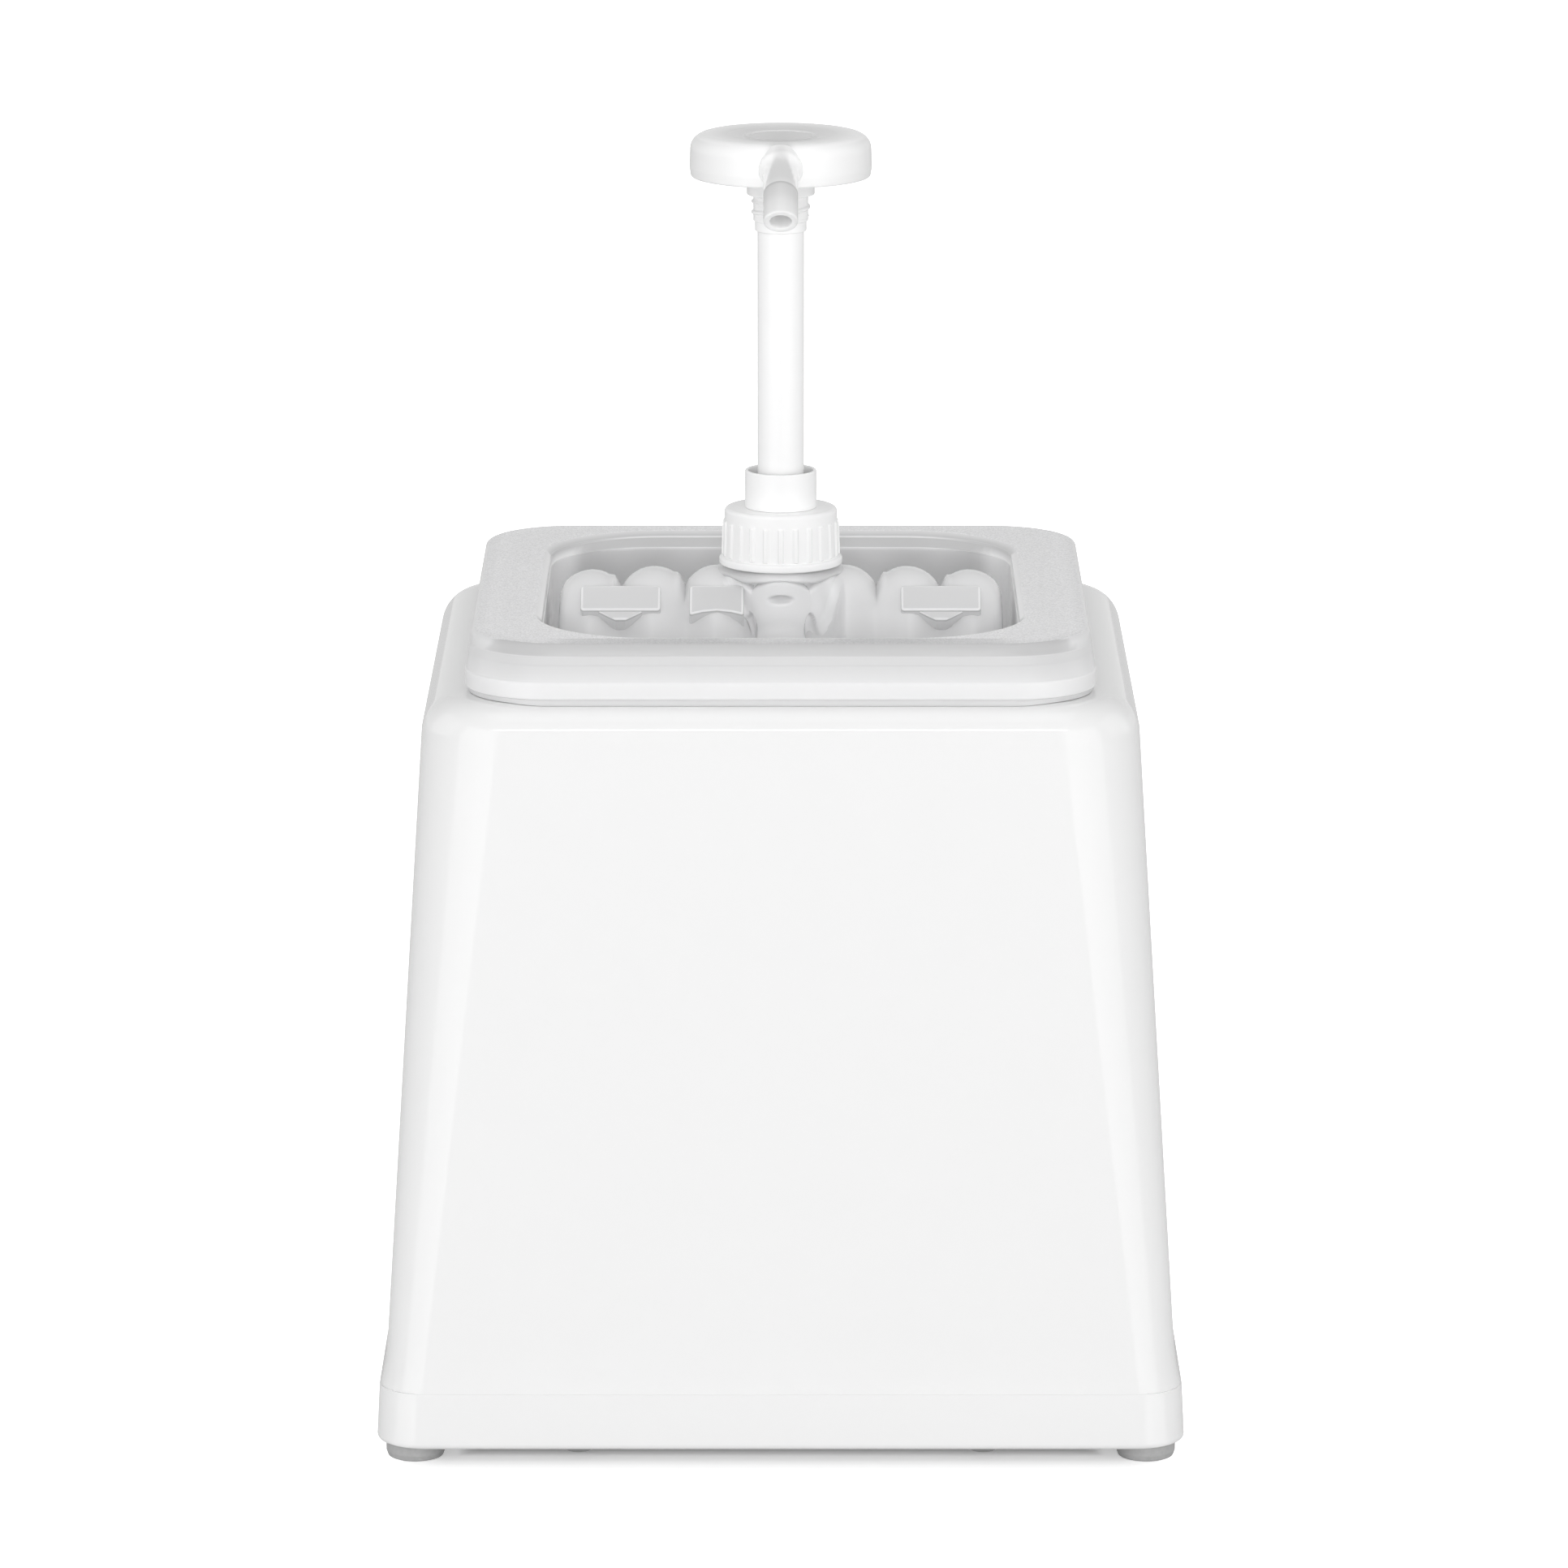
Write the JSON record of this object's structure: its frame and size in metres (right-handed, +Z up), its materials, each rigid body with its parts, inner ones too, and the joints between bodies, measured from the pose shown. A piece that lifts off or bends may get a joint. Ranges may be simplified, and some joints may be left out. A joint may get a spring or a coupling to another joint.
{
  "type": "pump sauce dispenser",
  "caption": "Counter-top sauce dispenser: tapered square housing, lift-off top frame and a ribbed canister with a screwed-on push pump whose head swivels and springs back.",
  "frame": {"origin": "on the table, under the middle of the housing", "axes": "+Z up along the pump's stem, front with the spout to -Y, +X to the right seen from the front"},
  "size_m": [0.22, 0.22, 0.3485],
  "materials": {
    "white_gloss": "polished white moulding",
    "white_plastic": "plain white moulding",
    "pump_white": "smooth white moulding",
    "frame_plastic": "pale grey translucent moulding with a grained top",
    "canister_plastic": "milky translucent blow moulding",
    "tube_plastic": "extruded tube",
    "foot_rubber": "matt grey rubber",
    "seal_rubber": "soft moulded seal",
    "screw_steel": "plain zinc-plated screws",
    "ball_steel": "ground balls",
    "spring_steel": "drawn wire"
  },
  "bodies": {
    "housing": {"housing_shell": "white_gloss", "base_plate": "white_plastic", "base_screws": "screw_steel", "rubber_feet": "foot_rubber", "foot_screws": "screw_steel"},
    "frame": {"top_frame": "frame_plastic"},
    "canister": {"sauce_canister": "canister_plastic"},
    "barrel": {"pump_barrel": "pump_white", "neck_gasket": "seal_rubber", "lock_collar": "pump_white", "stem_wiper": "seal_rubber", "dip_tube": "tube_plastic", "ball_cage": "pump_white", "return_spring": "spring_steel"},
    "cap": {"screw_cap": "pump_white"},
    "plunger": {"piston": "pump_white", "piston_seal": "seal_rubber"},
    "head": {"stem_tube": "pump_white", "pump_head": "pump_white"},
    "inlet_valve": {"inlet_ball": "ball_steel"},
    "outlet_valve": {"outlet_ball": "ball_steel"}
  },
  "joints": [
    {"name": "frame_lift", "type": "slide", "parent": "housing", "child": "frame", "axis": [0, 0, 1], "range_m": [0, 0.16]},
    {"name": "canister_lift", "type": "slide", "parent": "housing", "child": "canister", "axis": [0, 0, 1], "range_m": [0, 0.225]},
    {"name": "cap_rise", "type": "slide", "parent": "canister", "child": "barrel", "axis": [0, 0, 1], "range_m": [0, 0.006]},
    {"name": "cap_turn", "type": "hinge", "parent": "barrel", "child": "cap", "pos_m": [0, 0, 0.236], "axis": [0, 0, 1], "range_deg": [0, 540.1]},
    {"name": "pump_stroke", "type": "slide", "parent": "barrel", "child": "plunger", "axis": [0, 0, -1], "range_m": [0, 0.065], "stiffness_N_per_m": 180, "springref_m": -0.045, "deforming": ["return_spring"]},
    {"name": "head_swivel", "type": "hinge", "parent": "plunger", "child": "head", "pos_m": [0, 0, 0.3366], "axis": [0, 0, 1], "continuous": true},
    {"name": "inlet_lift", "type": "slide", "parent": "barrel", "child": "inlet_valve", "axis": [0, 0, 1], "range_m": [0, 0.0025]},
    {"name": "outlet_lift", "type": "slide", "parent": "plunger", "child": "outlet_valve", "axis": [0, 0, 1], "range_m": [0, 0.0025]}
  ],
  "couplings": [
    {"joint": "cap_turn", "follows": "cap_rise", "rad_per_m": 1570.8}
  ]
}
